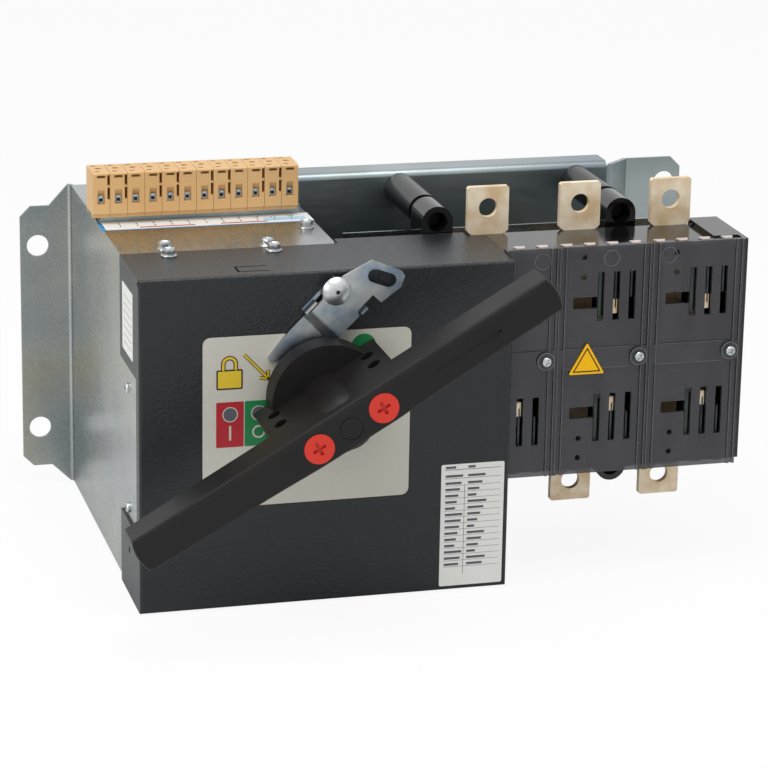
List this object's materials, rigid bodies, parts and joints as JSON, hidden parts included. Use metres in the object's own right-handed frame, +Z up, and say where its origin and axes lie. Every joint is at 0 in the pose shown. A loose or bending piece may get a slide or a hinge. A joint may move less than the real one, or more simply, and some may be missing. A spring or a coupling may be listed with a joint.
{
  "type": "motor-operated transfer switch",
  "caption": "Motor-operated switch on a wall chassis: dark cover with a long black handle and padlock slide, smoked pole covers and copper terminal bars.",
  "frame": {"origin": "midway between the two fixing holes of the left flange, on the wall face", "axes": "+X to the right along the wall, +Y into the wall, +Z up"},
  "size_m": [0.497, 0.3518, 0.2609],
  "materials": {
    "galvanised": "satin",
    "cover_paint": "textured",
    "black_plastic": "satin",
    "gloss_black": "gloss",
    "smoked_clear": "clear",
    "copper_bar": "satin",
    "beige_plastic": "satin",
    "red_plastic": "gloss",
    "zinc_steel": "satin",
    "dark_steel": "satin"
  },
  "bodies": {
    "chassis": {"motor_housing": "galvanised", "switch_carrier": "galvanised", "right_bracket": "galvanised", "back_plate": "galvanised", "terminal_rail": "galvanised", "front_cover": "cover_paint", "switch_body": "gloss_black", "spacer_1": "black_plastic", "spacer_2": "black_plastic", "spacer_3": "black_plastic", "spacer_4": "black_plastic", "pole_cover_1": "smoked_clear", "pole_cover_2": "smoked_clear", "pole_cover_3": "smoked_clear", "terminal_bar_top_1": "copper_bar", "terminal_bar_top_2": "copper_bar", "terminal_bar_top_3": "copper_bar", "terminal_bar_bottom_1": "copper_bar", "terminal_bar_bottom_2": "copper_bar", "terminal_bar_bottom_3": "copper_bar", "fixed_contact_top_1": "copper_bar", "fixed_contact_top_2": "copper_bar", "fixed_contact_top_3": "copper_bar", "fixed_contact_bottom_1": "copper_bar", "fixed_contact_bottom_2": "copper_bar", "fixed_contact_bottom_3": "copper_bar", "shaft_bush": "copper_bar", "terminal_block_01": "beige_plastic", "terminal_block_02": "beige_plastic", "terminal_block_03": "beige_plastic", "terminal_block_04": "beige_plastic", "terminal_block_05": "beige_plastic", "terminal_block_06": "beige_plastic", "terminal_block_07": "beige_plastic", "terminal_block_08": "beige_plastic", "terminal_block_09": "beige_plastic", "terminal_block_10": "beige_plastic", "terminal_block_11": "beige_plastic", "terminal_block_12": "beige_plastic", "lock_guide": "zinc_steel", "guide_stud": "zinc_steel", "long_screw_1": "zinc_steel", "long_screw_2": "zinc_steel", "long_screw_3": "zinc_steel", "long_screw_4": "zinc_steel", "gear_motor": "dark_steel", "drive_plate": "dark_steel"},
    "handle_assembly": {"handle": "black_plastic", "handle_cap_left": "red_plastic", "handle_cap_right": "red_plastic", "drive_shaft": "dark_steel", "drive_gear": "dark_steel", "bevel_drive": "dark_steel"},
    "contact_rotor": {"contact_shaft": "black_plastic", "bevel_driven": "dark_steel", "contact_blade_1": "copper_bar", "contact_blade_2": "copper_bar", "contact_blade_3": "copper_bar"},
    "pinion": {"motor_pinion": "dark_steel"},
    "slide": {"lock_slide": "zinc_steel"}
  },
  "joints": [
    {"name": "handle_turn", "type": "hinge", "parent": "chassis", "child": "handle_assembly", "pos_m": [0.142, -0.2715, 0.0332], "axis": [0, 1, 0], "range_deg": [0, 90]},
    {"name": "contacts_turn", "type": "hinge", "parent": "chassis", "child": "contact_rotor", "pos_m": [0.3386, -0.228, 0.0332], "axis": [1, 0, 0], "range_deg": [0, 90]},
    {"name": "pinion_turn", "type": "hinge", "parent": "chassis", "child": "pinion", "pos_m": [0.10523, -0.26, -0.00357], "axis": [0, 1, 0], "range_deg": [-300, 0]},
    {"name": "lock_travel", "type": "slide", "parent": "chassis", "child": "slide", "axis": [0.7071, 0, 0.7071], "range_m": [-0.005, 0]}
  ],
  "couplings": [
    {"joint": "contacts_turn", "follows": "handle_turn", "ratio": 1},
    {"joint": "pinion_turn", "follows": "handle_turn", "ratio": -3.3333}
  ]
}
